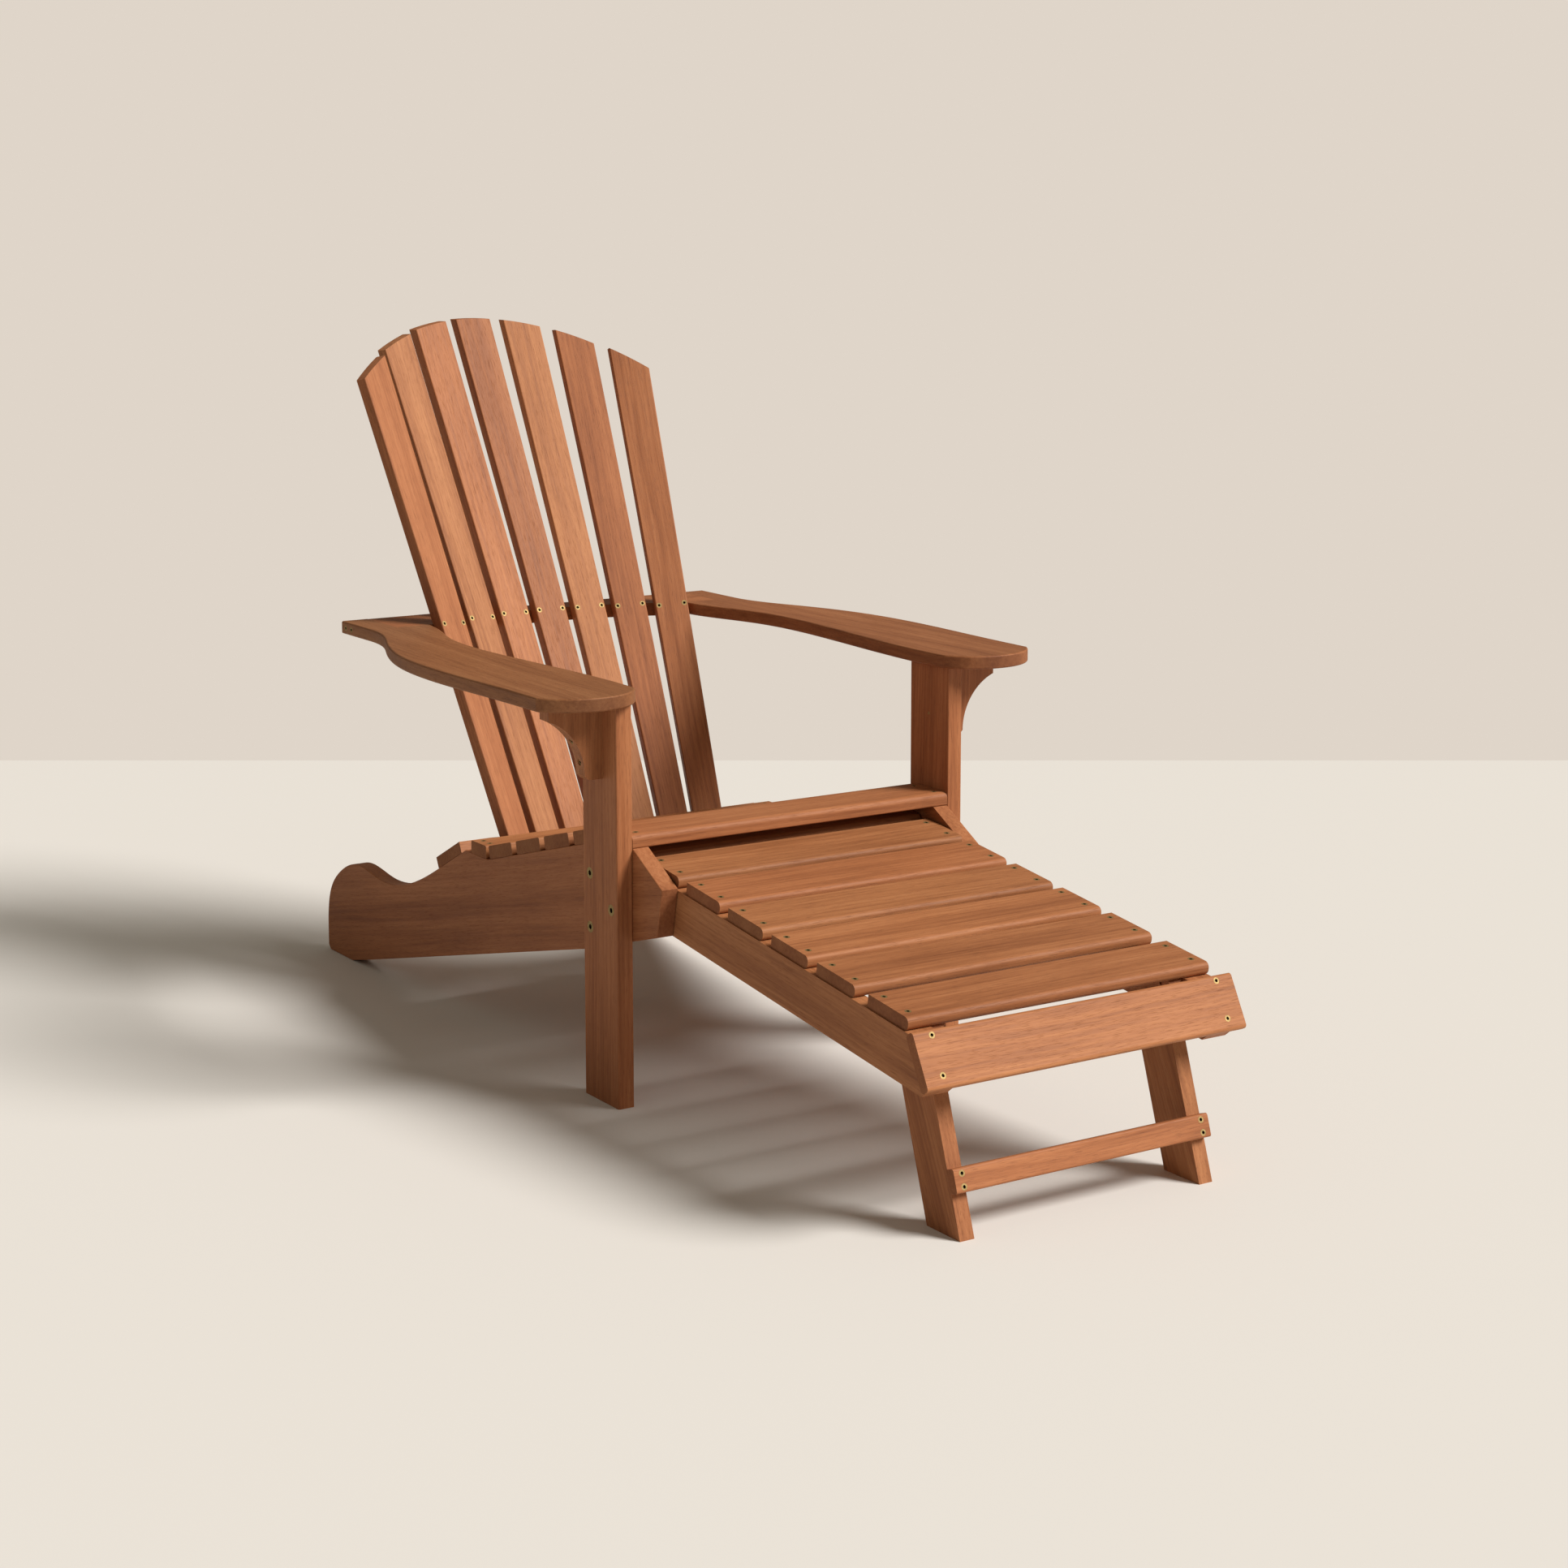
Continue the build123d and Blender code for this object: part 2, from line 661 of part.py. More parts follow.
def hollow_points(plane):
    """Three points of a brace's hollow edge on one of its faces, clear of every slat's back."""
    corner_x, corner_y = back_point(plane, 0, -1)
    middle_y = back_point(plane, (back_slat_count - 1) // 2, 0)[1]
    backs = [back_point(plane, number, edge) for number in range(back_slat_count) for edge in (-1, 0, 1)]
    lead = [y - middle_y + (middle_y - corner_y) * (x / corner_x) ** 2 for x, y in backs]
    clear = max(lead) + brace_gap
    return [(corner_x, corner_y + clear), (0, middle_y + clear), (-corner_x, corner_y + clear)]


def brace_outline(start, end, horn, ends, front, back):
    """Points of a brace's straight edges, from one end of its hollow round to the other."""
    return [
        start, (horn, front), (ends, front), (ends, back), (-ends, back), (-ends, front), (-horn, front), end,
    ]


def ramp_face(height):
    """Plane along the ramps at a height over them: first axis across the chair, second down the ramp."""
    origin = Vector(0, datum_y + shelf_end, shelf_level) + Vector(0, sin(ramp), cos(ramp)) * height
    return Plane(origin=origin, x_dir=(1, 0, 0), z_dir=(0, sin(ramp), cos(ramp)))


def slat_screw_places(number, brace_middle):
    """Two screws through a back slat into a brace whose middle plane is given."""
    low, up, across, face = back_slat_frame(number)
    run = run_to(brace_middle, number, slat_board + screw_bite)
    spread = back_slat_half(run) - back_screw_edge
    middle = low + up * run
    return [Plane(origin=middle + across * s * spread, x_dir=across, z_dir=face).location for s in (-1, 1)]


upper_middle = Plane.XY.offset(brace_z)
lower_middle = ramp_face(lower_brace_board / 2)
upper_places = [p for number in range(back_slat_count) for p in slat_screw_places(number, upper_middle)]
lower_places = [p for number in range(back_slat_count) for p in slat_screw_places(number, lower_middle)]
crown_plane = Plane(origin=(0, datum_y, back_height - crown_radius), x_dir=(1, 0, 0), z_dir=(0, -1, 0))
for number in range(back_slat_count):
    low, up, across, face = back_slat_frame(number)
    top_run = (back_height + slat_board - low.Z) / up.Z
    with BuildPart() as back_slat:
        with BuildSketch(Plane(origin=low, x_dir=across, z_dir=face)):
            with BuildLine():
                low_half = back_slat_half(-back_slat_tail)
                top_half = back_slat_half(top_run)
                Polyline(
                    (-low_half, -back_slat_tail),
                    (low_half, -back_slat_tail),
                    (top_half, top_run),
                    (-top_half, top_run),
                    close=True,
                )
            make_face()
        extrude(amount=-slat_board)
        fillet(back_slat.edges().filter_by(lambda e: e.length > top_run / 2), edge_ease)
        with BuildSketch(crown_plane):
            Circle(crown_radius)
            with Locations((0, -crown_radius)):
                Rectangle(2 * crown_radius, 2 * crown_radius)
        extrude(amount=rail_length, both=True, mode=Mode.INTERSECT)
        sink_screws(slat_screw_places(number, upper_middle) + slat_screw_places(number, lower_middle))
    write(back_slat, f"back_slat_{number + 1}")
make_screws(upper_places + lower_places, "back_slat_screws")

# ---------------------------------------------------------------- upper brace
# Lies between the arms' necks. Its front edge is hollow and leans with the slats.
upper_sides = {
    "horn": neck_inner, "ends": brace_end,
    "front": datum_y + neck_notch, "back": datum_y + brace_back,
}
with BuildPart() as upper_brace:
    for level in (post_height, arm_top):
        with BuildSketch(Plane.XY.offset(level)):
            with BuildLine():
                hollow = hollow_points(Plane.XY.offset(level))
                ThreePointArc(*hollow)
                Polyline(*brace_outline(hollow[2], hollow[0], **upper_sides))
            make_face()
    loft(ruled=True)
    fillet(upper_brace.edges().filter_by(Axis.X).sort_by(Axis.Y)[-2:], edge_ease)
    pilot_holes(upper_places)
    pilot_holes([p for side in (-1, 1) for p in neck_screw_places(side)], long_screw)
write(upper_brace, "upper_back_brace")

# ---------------------------------------------------------------- lower brace
# Lies on the rails' ramps, nearly square to the slats, with a hollow front edge.
lower_sides = {
    "ends": half_seat, "front": lower_brace_start, "back": lower_brace_start + lower_brace_width,
}
with BuildPart() as lower_brace:
    for height in (0, lower_brace_board):
        with BuildSketch(ramp_face(height)):
            with BuildLine():
                hollow = hollow_points(ramp_face(height))
                ThreePointArc(*hollow)
                horn = hollow[2][0] + brace_horn
                Polyline(*brace_outline(hollow[2], hollow[0], horn, **lower_sides))
            make_face()
    loft(ruled=True)
    sink_screws([p for side in (-1, 1) for p in brace_screw_places(side)])
    pilot_holes(lower_places)
write(lower_brace, "lower_back_brace")
make_screws([p for side in (-1, 1) for p in brace_screw_places(side)], "lower_brace_screws")
make_screws([p for side in (-1, 1) for p in neck_screw_places(side)], "arm_neck_screws", long_screw)
make_screws([p for side in (-1, 1) for p in corbel_screws(side)], "corbel_screws", long_screw)

with BuildPart() as dowels:
    with Locations(*[p for side in (-1, 1) for p in dowel_holes(side)]):
        with Locations((0, 0, dowel_in_arm)):
            Cylinder(dowel_radius, dowel_length, align=(Align.CENTER, Align.CENTER, Align.MAX))
write(dowels, "arm_dowels")

# ---------------------------------------------------------------- post bolts and inserts
bolt_faces = [facing(side * post_face, y, z, (side, 0, 0)) for side in (-1, 1) for y, z in post_bolt_places]
with BuildPart() as bolts:
    with Locations(*bolt_faces):
        Cylinder(bolt_radius, frame_board + insert_length, align=(Align.CENTER, Align.CENTER, Align.MAX))
        Cylinder(bolt_head_radius, bolt_head, align=(Align.CENTER, Align.CENTER, Align.MAX))
        Hole(radius=bolt_recess_radius, depth=bolt_recess)
write(bolts, "post_bolts")

insert_faces = [facing(side * half_seat, y, z, (side, 0, 0)) for side in (-1, 1) for y, z in post_bolt_places]
with BuildPart() as inserts:
    with Locations(*insert_faces):
        Cylinder(insert_radius, insert_length, align=(Align.CENTER, Align.CENTER, Align.MAX))
        Hole(radius=bolt_radius + pivot_clearance, depth=insert_length)
write(inserts, "threaded_inserts")

# ---------------------------------------------------------------- footrest: rear rod
# A hardwood rod across the back of the footrest, whose ends run in the rails' grooves.
rest_outer = rail_inner - rest_side_gap
rest_inner = rest_outer - rest_board
with BuildPart() as rod:
    with BuildSketch(rest_plane(0)):
        Circle(rod_radius)
    extrude(amount=rail_inner + groove_depth - rod_end_play, both=True)
write(rod, "footrest_rear_rod")

# ---------------------------------------------------------------- footrest: rails and leg blocks
# Two rails on edge with slanted front ends, and a block inside each one for the leg's pivot.


def end_profile(tail):
    """Corners of a rail or block, from its tail to the slanted and bevelled front end."""
    bevel_top = rest_rail_low + rail_bevel
    return [
        (tail, rest_rail_top),
        (end_reach(rest_rail_top), rest_rail_top),
        (end_reach(bevel_top), bevel_top),
        (end_reach(bevel_top) - rail_bevel, rest_rail_low),
        (tail, rest_rail_low),
    ]


rest_fronts = [rest_first_front + rest_slat_pitch * i for i in range(rest_slat_count)]
rest_fronts.append(apron_back_top[0] - apron_gap)
rest_half = rest_outer - rest_slat_inset
batten_front = rest_batten_width - rest_tail


def rest_screw_places(side, front):
    """Two screws at one end of a footrest slat."""
    plane = rest_plane(side * (rest_half - screw_inset))
    return [on_plane(plane, front - gap, rod_depth) for gap in (screw_front, rest_slat_width - screw_rear)]


def batten_screw(side):
    """One screw at each end of the batten over the rear rod."""
    plane = rest_plane(side * (rest_half - screw_inset))
    return [on_plane(plane, batten_front - batten_screw_back, rod_depth)]


def apron_screw_places(side):
    """Two screws through the apron into the end of a footrest rail."""
    along = cos(out) * face_out[0] + sin(out) * face_out[1]
    up = cos(out) * face_out[1] - sin(out) * face_out[0]
    places = []
    for drop in apron_screw_drops:
        reach = apron_top[0] + drop * face_down[0]
        rise = apron_top[1] + drop * face_down[1]
        y, z = rest_point(reach, rise)
        places.append(facing(side * (rest_half - screw_inset), y, z, (0, -along, up)))
    return places


def block_screw_places(side):
    """Two screws through a leg block into the footrest's rail."""
    plane = rest_plane(side * block_inner)
    spots = [(leg_pivot_reach + gap, -leg_pivot_drop) for gap in block_screw_gaps]
    return [Plane(origin=plane.from_local_coords((u, v, 0)), x_dir=(0, 0, 1), z_dir=(-side, 0, 0)).location
            for u, v in spots]


def cleat_screw_place(side):
    """One screw through the stop cleat into the leg block."""
    plane = leg_plane(side * leg_inner)
    cleat_middle = leg_width / 2 + cleat_gap + cleat_depth / 2
    middle = plane.from_local_coords((cleat_drop + cleat_height / 4, cleat_middle, 0))
    return [Plane(origin=middle, x_dir=(0, 0, 1), z_dir=(-side, 0, 0)).location]


apron_screws = [p for side in (-1, 1) for p in apron_screw_places(side)]
rest_screws = [p for side in (-1, 1) for front in rest_fronts for p in rest_screw_places(side, front)]
batten_screws = [p for side in (-1, 1) for p in batten_screw(side)]
block_inner = rest_inner - block_board
leg_outer = block_inner - leg_gap
leg_inner = leg_outer - rest_board
for name, side in sides.items():
    with BuildPart() as rest_rail:
        with BuildSketch(rest_plane(side * (rest_outer - rest_board / 2))):
            with BuildLine():
                Polyline(*end_profile(-rest_tail), close=True)
            make_face()
        extrude(amount=rest_board / 2, both=True)
        with BuildSketch(rest_plane(side * (rest_outer - rest_board / 2))):
            Circle(rod_radius + pivot_clearance)
        extrude(amount=rest_board, both=True, mode=Mode.SUBTRACT)
        with BuildSketch(rest_plane(side * rest_inner)):
            with Locations((leg_pivot_reach, -leg_pivot_drop)):
                Circle(pivot_radius + pivot_clearance)
        extrude(amount=rest_board / 2, both=True, mode=Mode.SUBTRACT)
        pilot_holes([p for front in rest_fronts for p in rest_screw_places(side, front)])
        pilot_holes(apron_screw_places(side) + batten_screw(side) + block_screw_places(side))
    write(rest_rail, f"footrest_rail_{name}")
    with BuildPart() as block:
        with BuildSketch(rest_plane(side * (rest_inner - block_board / 2))):
            with BuildLine():
                Polyline(*end_profile(end_reach(0) - block_length), close=True)
            make_face()
        extrude(amount=block_board / 2, both=True)
        with BuildSketch(rest_plane(side * rest_inner)):
            with Locations((leg_pivot_reach, -leg_pivot_drop)):
                Circle(pivot_radius + pivot_clearance)
        extrude(amount=rest_board, both=True, mode=Mode.SUBTRACT)
        sink_screws(block_screw_places(side))
        pilot_holes(cleat_screw_place(side))
    write(block, f"leg_block_{name}")

# ---------------------------------------------------------------- footrest: slats and apron
for number, front in enumerate([batten_front] + rest_fronts):
    with BuildPart() as rest_slat:
        width = rest_slat_width if number else rest_batten_width
        with BuildSketch(rest_plane(0)):
            with Locations((front - width / 2, rod_depth - rest_slat_board / 2)):
                Rectangle(width, rest_slat_board)
        extrude(amount=rest_half, both=True)
        fillet(rest_slat.edges().filter_by(Axis.X).sort_by(Axis.Y)[:2], rest_nose)
        if number:
            sink_screws([p for side in (-1, 1) for p in rest_screw_places(side, front)])
        else:
            sink_screws(batten_screws)
    write(rest_slat, f"footrest_slat_{number}" if number else "footrest_rear_batten")

with BuildPart() as apron:
    with BuildSketch(rest_plane(0)):
        with BuildLine():
            Polyline(apron_top, apron_low, apron_back_low, apron_back_top, close=True)
        make_face()
    extrude(amount=rest_half + apron_overhang, both=True)
    fillet(apron.edges().filter_by(Axis.X), apron_round)
    sink_screws(apron_screws)
write(apron, "footrest_apron")
make_screws(rest_screws + batten_screws, "footrest_slat_screws")
make_screws(apron_screws, "footrest_apron_screws")

# ---------------------------------------------------------------- footrest: leg pivots and stop cleats
pivot_in = rest_inner + rest_board / 2
with BuildPart() as pivots:
    for side in (-1, 1):
        with BuildSketch(rest_plane(side * (leg_inner + pivot_in) / 2)):
            with Locations((leg_pivot_reach, -leg_pivot_drop)):
                Circle(pivot_radius)
        extrude(amount=(pivot_in - leg_inner) / 2, both=True)
        with BuildSketch(rest_plane(side * (leg_inner - pivot_head / 2 - pivot_end_play / 2))):
            with Locations((leg_pivot_reach, -leg_pivot_drop)):
                Circle(pivot_head_radius)
        extrude(amount=pivot_head / 2 - pivot_end_play / 2, both=True)
write(pivots, "leg_pivot_bolts")

with BuildPart() as cleats:
    for side in (-1, 1):
        with BuildSketch(leg_plane(side * (leg_inner + block_inner) / 2)):
            with Locations((cleat_drop, leg_width / 2 + cleat_gap + cleat_depth / 2)):
                Rectangle(cleat_height, cleat_depth)
        extrude(amount=(block_inner - leg_inner) / 2, both=True)
    sink_screws([p for side in (-1, 1) for p in cleat_screw_place(side)])
write(cleats, "leg_stop_cleats")
make_screws(
    [p for side in (-1, 1) for p in block_screw_places(side) + cleat_screw_place(side)], "leg_block_screws"
)

# ---------------------------------------------------------------- legs and stretcher
# Two legs that turn on the pivot bolts, joined by a stretcher on their front faces.
pivot_y, pivot_z = rest_point(leg_pivot_reach, -leg_pivot_drop)


def leg_screw_places(side):
    """Two screws through the stretcher into one leg."""
    plane = leg_plane(side * (leg_outer - rest_board / 2))
    front = leg_width / 2 + stretcher_board
    return [on_plane(plane, run, front) for run in edge_pair(
        stretcher_drop - stretcher_height / 2, stretcher_height, stretcher_screw_edge)]


for name, side in sides.items():
    with BuildPart() as leg:
        with BuildSketch(leg_plane(side * (leg_outer - rest_board / 2))):
            Circle(leg_width / 2)
            with BuildLine():
                half = leg_width / 2
                rear_length = (pivot_z - half * sin(lean)) / cos(lean)
                front_length = (pivot_z + half * sin(lean)) / cos(lean)
                Polyline((0, -half), (rear_length, -half), (front_length, half), (0, half), close=True)
            make_face()
            Circle(pivot_radius + pivot_clearance, mode=Mode.SUBTRACT)
        extrude(amount=rest_board / 2, both=True)
        pilot_holes(leg_screw_places(side))
    write(leg, f"footrest_leg_{name}")

with BuildPart() as stretcher:
    with BuildSketch(leg_plane(0)):
        with Locations((stretcher_drop, leg_width / 2 + stretcher_board / 2)):
            Rectangle(stretcher_height, stretcher_board)
    extrude(amount=leg_outer + stretcher_overhang, both=True)
    fillet(stretcher.edges().filter_by(Axis.X).sort_by(Axis.Y)[:2], stretcher_round)
    sink_screws([p for side in (-1, 1) for p in leg_screw_places(side)])
write(stretcher, "leg_stretcher")
make_screws([p for side in (-1, 1) for p in leg_screw_places(side)], "leg_screws")
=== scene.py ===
import random
from math import cos, radians, sin

import bmesh
import bpy
import numpy as np
from mathutils import Euler, Matrix, Vector


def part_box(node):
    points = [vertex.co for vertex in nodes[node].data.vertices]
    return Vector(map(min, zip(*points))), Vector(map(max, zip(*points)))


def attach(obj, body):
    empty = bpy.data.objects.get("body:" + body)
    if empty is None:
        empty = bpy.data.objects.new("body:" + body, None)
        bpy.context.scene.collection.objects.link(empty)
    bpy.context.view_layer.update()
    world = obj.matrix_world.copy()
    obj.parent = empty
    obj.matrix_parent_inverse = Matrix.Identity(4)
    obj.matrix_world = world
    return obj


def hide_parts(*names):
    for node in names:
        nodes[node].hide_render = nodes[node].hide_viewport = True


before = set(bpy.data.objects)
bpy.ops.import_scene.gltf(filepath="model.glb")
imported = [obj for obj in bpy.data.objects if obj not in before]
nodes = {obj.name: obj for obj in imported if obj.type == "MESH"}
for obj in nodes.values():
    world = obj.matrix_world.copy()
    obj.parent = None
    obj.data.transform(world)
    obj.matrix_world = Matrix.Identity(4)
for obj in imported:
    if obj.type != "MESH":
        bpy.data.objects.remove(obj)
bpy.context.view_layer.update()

# ---------------------------------------------------------------- side rails
# Two long boards on edge, sawn from a reddish hardwood and oiled to a satin finish.
# Each is the rear leg as well; the grain runs along the board.


class Wire:
    """An output of a shader node, so that a pattern can be written as a sum."""

    def __init__(self, finish, socket):
        self.finish = finish
        self.socket = socket

    def maths(self, operation, first, second):
        return self.finish.node("ShaderNodeMath", {"operation": operation}, {0: first, 1: second})

    def __add__(self, other):
        return self.maths("ADD", self, other)

    def __sub__(self, other):
        return self.maths("SUBTRACT", self, other)

    def __mul__(self, other):
        return self.maths("MULTIPLY", self, other)

    __radd__ = __add__

    def rise(self, low, high):
        """0 below low, 1 above high, and a smooth step between them."""
        settings = {"interpolation_type": "SMOOTHSTEP"}
        return self.finish.node("ShaderNodeMapRange", settings, {0: self, 1: low, 2: high})


class Finish:
    """A material and the nodes that make its pattern."""

    def __init__(self, name):
        self.material = bpy.data.materials.new(name)
        self.material.use_nodes = True
        self.tree = self.material.node_tree
        self.shader = self.tree.nodes["Principled BSDF"]

    def node(self, kind, settings=None, sockets=None, output=0):
        """Adds a node with its settings and sockets, and gives one of its outputs."""
        made = self.tree.nodes.new(kind)
        for name, value in (settings or {}).items():
            if name == "stops":
                self.set_stops(made.color_ramp.elements, value)
            else:
                setattr(made, name, value)
        for name, value in (sockets or {}).items():
            self.fill(made.inputs[name], value)
        return Wire(self, made.outputs[output])

    def set_stops(self, elements, stops):
        while len(elements) < len(stops):
            elements.new(0.5)
        for element, (place, colour) in zip(elements, stops):
            element.position = place
            element.color = (*colour, 1)

    def fill(self, socket, value):
        if isinstance(value, Wire):
            self.tree.links.new(value.socket, socket)
        else:
            socket.default_value = value

    def surface(self, **sockets):
        """Sets the shader's own sockets, named with _ for a space."""
        for name, value in sockets.items():
            self.fill(self.shader.inputs[name.replace("_", " ")], value)

    def blend(self, share, under, over):
        """Colour under, covered by colour over as far as share says."""
        return self.node("ShaderNodeMix", {"data_type": "RGBA"}, {0: share, 6: under, 7: over}, 2)


def board_axes(node):
    """Middle of a board, and its axes as columns: along, across and through its thickness."""
    points = np.array([v.co for v in nodes[node].data.vertices])
    middle = (points.min(0) + points.max(0)) / 2
    axes = np.linalg.eigh(np.cov((points - points.mean(0)).T))[1][:, ::-1]
    if np.linalg.det(axes) < 0:
        axes[:, 2] = -axes[:, 2]
    return Vector(middle), Matrix(axes.tolist())


board_draw = random.Random(31)
tone_range = (0.90, 1.08)
warmth_range = (0.94, 1.06)
start_range = (-6, 6)      # metres, so that no two boards show the same grain

wood_dark = (0.205, 0.065, 0.023)
wood_middle = (0.375, 0.142, 0.055)
wood_light = (0.500, 0.212, 0.090)
wood_pore = (0.085, 0.026, 0.012)
wood_end = (0.150, 0.050, 0.022)
dark_stop = 0.24
middle_stop = 0.42
light_stop = 0.58

# Noise cells per metre along the grain and across it, and the detail of the noise.
sway_fibre = (1.6, 5.0, 1.0)
band_fibre = (0.9, 30.0, 3.0)
streak_fibre = (7.0, 240.0, 3.0)
pore_fibre = (55.0, 1500.0, 1.0)
cloud_fibre = (5.0, 9.0, 2.0)
fibre_roughness = 0.58
sway_across = 0.030
sway_through = 0.022
pore_range = (0.56, 0.70)
end_range = (0.80, 0.97)      # cosine between the surface and the board's length

# How much each pattern counts in the colour, the relief and the gloss.
band_share = 0.36
streak_share = 0.34
cloud_share = 0.14
pore_cover = 0.34
end_cover = 0.45
relief_strength = 0.30
relief_depth = 0.0006
oiled_roughness = 0.48
oiled_specular = 0.22


def board_finish(name, middle, axes, depth=1.0):
    """Oiled hardwood whose grain runs along a board's first axis. A depth under 1 is a darker board."""
    wood = Finish(name)
    tone = depth * board_draw.uniform(*tone_range)
    warmth = board_draw.uniform(*warmth_range)
    start = middle + Vector([board_draw.uniform(*start_range) for _ in range(3)])

    def stain(colour):
        return (colour[0] * tone, colour[1] * tone * warmth, colour[2] * tone * warmth)

    def fibre(source, along, across, detail):
        stretch = {0: source, 1: (along, across, across)}
        stretched = wood.node("ShaderNodeVectorMath", {"operation": "MULTIPLY"}, stretch)
        sockets = {"Vector": stretched, "Scale": 1.0, "Detail": detail, "Roughness": fibre_roughness}
        return wood.node("ShaderNodeTexNoise", None, sockets)

    place = wood.node("ShaderNodeTexCoord", output="Object")
    turned = {"Vector": place, "Location": start, "Rotation": axes.to_euler()}
    board = wood.node("ShaderNodeMapping", {"vector_type": "TEXTURE"}, turned)
    sway = fibre(board, *sway_fibre) - 0.5
    drift = wood.node("ShaderNodeCombineXYZ", None, {1: sway * sway_across, 2: sway * sway_through})
    grown = wood.node("ShaderNodeVectorMath", {"operation": "ADD"}, {0: board, 1: drift})
    bands = fibre(grown, *band_fibre)
    streaks = fibre(grown, *streak_fibre)
    pores = fibre(grown, *pore_fibre).rise(*pore_range)
    cloud = fibre(board, *cloud_fibre)

    normal = wood.node("ShaderNodeTexCoord", output="Normal")
    dot = {0: normal, 1: tuple(axes.col[0])}
    facing = wood.node("ShaderNodeVectorMath", {"operation": "DOT_PRODUCT"}, dot, "Value")
    ends = facing.maths("ABSOLUTE", facing, 0.0).rise(*end_range)

    stops = [
        (dark_stop, stain(wood_dark)),
        (middle_stop, stain(wood_middle)),
        (light_stop, stain(wood_light)),
    ]
    level = bands * band_share + streaks * streak_share + cloud * cloud_share
    colour = wood.node("ShaderNodeValToRGB", {"stops": stops}, {0: level})
    colour = wood.blend(pores * pore_cover, colour, (*stain(wood_pore), 1))
    colour = wood.blend(ends * end_cover, colour, (*stain(wood_end), 1))
    relief = {"Strength": relief_strength, "Distance": relief_depth, "Height": streaks * 0.5 - pores * 0.5}
    bump = wood.node("ShaderNodeBump", None, relief)
    roughness = oiled_roughness + streaks * 0.16 + pores * 0.10 + ends * 0.15
    wood.surface(Base_Color=colour, Roughness=roughness, Specular_IOR_Level=oiled_specular, Normal=bump)
    return wood.material


def paint(node, material):
    """Gives a CAD node's slots its finish."""
    for slot in nodes[node].material_slots:
        slot.material = material


def finish_boards(*names, depth=1.0):
    """A finish of its own for each board, with the grain along it."""
    for name in names:
        paint(name, board_finish(f"oiled_{name}", *board_axes(name), depth))


finish_boards("side_rail_left", "side_rail_right")

# ---------------------------------------------------------------- front posts and arm dowels
# Upright boards bolted to the outside of the rails. Dowels of the same wood at their tops hold
# the arms, with their grain upright too.
finish_boards("front_post_left", "front_post_right", depth=0.90)
upright_grain = Matrix(((0, 1, 0), (0, 0, 1), (1, 0, 0)))
paint("arm_dowels", board_finish("oiled_arm_dowels", Vector((0, 0, 0)), upright_grain))

# ---------------------------------------------------------------- corbels
# Hollow-curved brackets under the arms, screwed to the posts. Their grain is upright.


def finish_sawn(name, grain):
    """A finish for a piece of any outline, with its grain along the first column of grain."""
    low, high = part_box(name)
    paint(name, board_finish(f"oiled_{name}", (low + high) / 2, grain))


for side in ("left", "right"):
    finish_sawn(f"corbel_{side}", upright_grain)

# ---------------------------------------------------------------- arms
# Broad paddle-shaped boards with softly rounded edges, level on the posts. Both are darker than
# the other boards, and the left one more so.
finish_boards("arm_left", depth=0.64)
finish_boards("arm_right", depth=0.72)

# ---------------------------------------------------------------- seat slats
# Boards across the chair with rounded long edges, each held by two screws at each end.
finish_boards("seat_slat_front", *[f"seat_slat_{number}" for number in range(1, 5)], "seat_slat_rear")

# ---------------------------------------------------------------- back slats and braces
# Seven tapered boards in a fan, screwed to two hollow-edged braces behind them. The braces'
# grain runs across the chair.
finish_boards(*[f"back_slat_{number}" for number in range(1, 8)])
across_grain = Matrix.Identity(3)
for name in ("upper_back_brace", "lower_back_brace"):
    finish_sawn(name, across_grain)

# ---------------------------------------------------------------- screws of the chair
# Brass countersunk screws with hexagon sockets. Each is set where the frame has one,
# and a tree of nodes makes the screw and puts a copy at every place.
patch_scale = 240.0      # noise cells per metre
patch_range = (0.42, 0.70)
patch_cover = 0.6
patch_dulling = 0.62
patch_roughness = 0.18
scratch_scale = 2600.0
scratch_strength = 0.12
scratch_depth = 0.0002


def metal_finish(name, colour, roughness):
    """Satin metal, handled and slightly dulled in patches."""
    metal = Finish(name)
    place = metal.node("ShaderNodeTexCoord", output="Object")
    patches = metal.node("ShaderNodeTexNoise", None, {"Vector": place, "Scale": patch_scale, "Detail": 3.0})
    dull = tuple(patch_dulling * part for part in colour)
    shade = metal.blend(patches.rise(*patch_range) * patch_cover, (*colour, 1), (*dull, 1))
    fine = metal.node("ShaderNodeTexNoise", None, {"Vector": place, "Scale": scratch_scale, "Detail": 2.0})
    scratches = {"Strength": scratch_strength, "Distance": scratch_depth, "Height": fine}
    bump = metal.node("ShaderNodeBump", None, scratches)
    gloss = roughness + patches * patch_roughness
    metal.surface(Base_Color=shade, Metallic=1.0, Roughness=gloss, Normal=bump)
    return metal.material


brass = metal_finish("brass", (0.40, 0.29, 0.13), 0.56)
# Near-black brass for the hexagon socket walls: painted shade, standing in for the shade inside each socket.
brass_painted_socket_shade = metal_finish("brass_painted_socket_shade", (0.060, 0.044, 0.022), 0.60)
steel = metal_finish("zinc_plated_steel", (0.60, 0.60, 0.58), 0.28)


same_point = 1e-6
end_depth = 1e-4      # how near a fastener's end its radius is taken


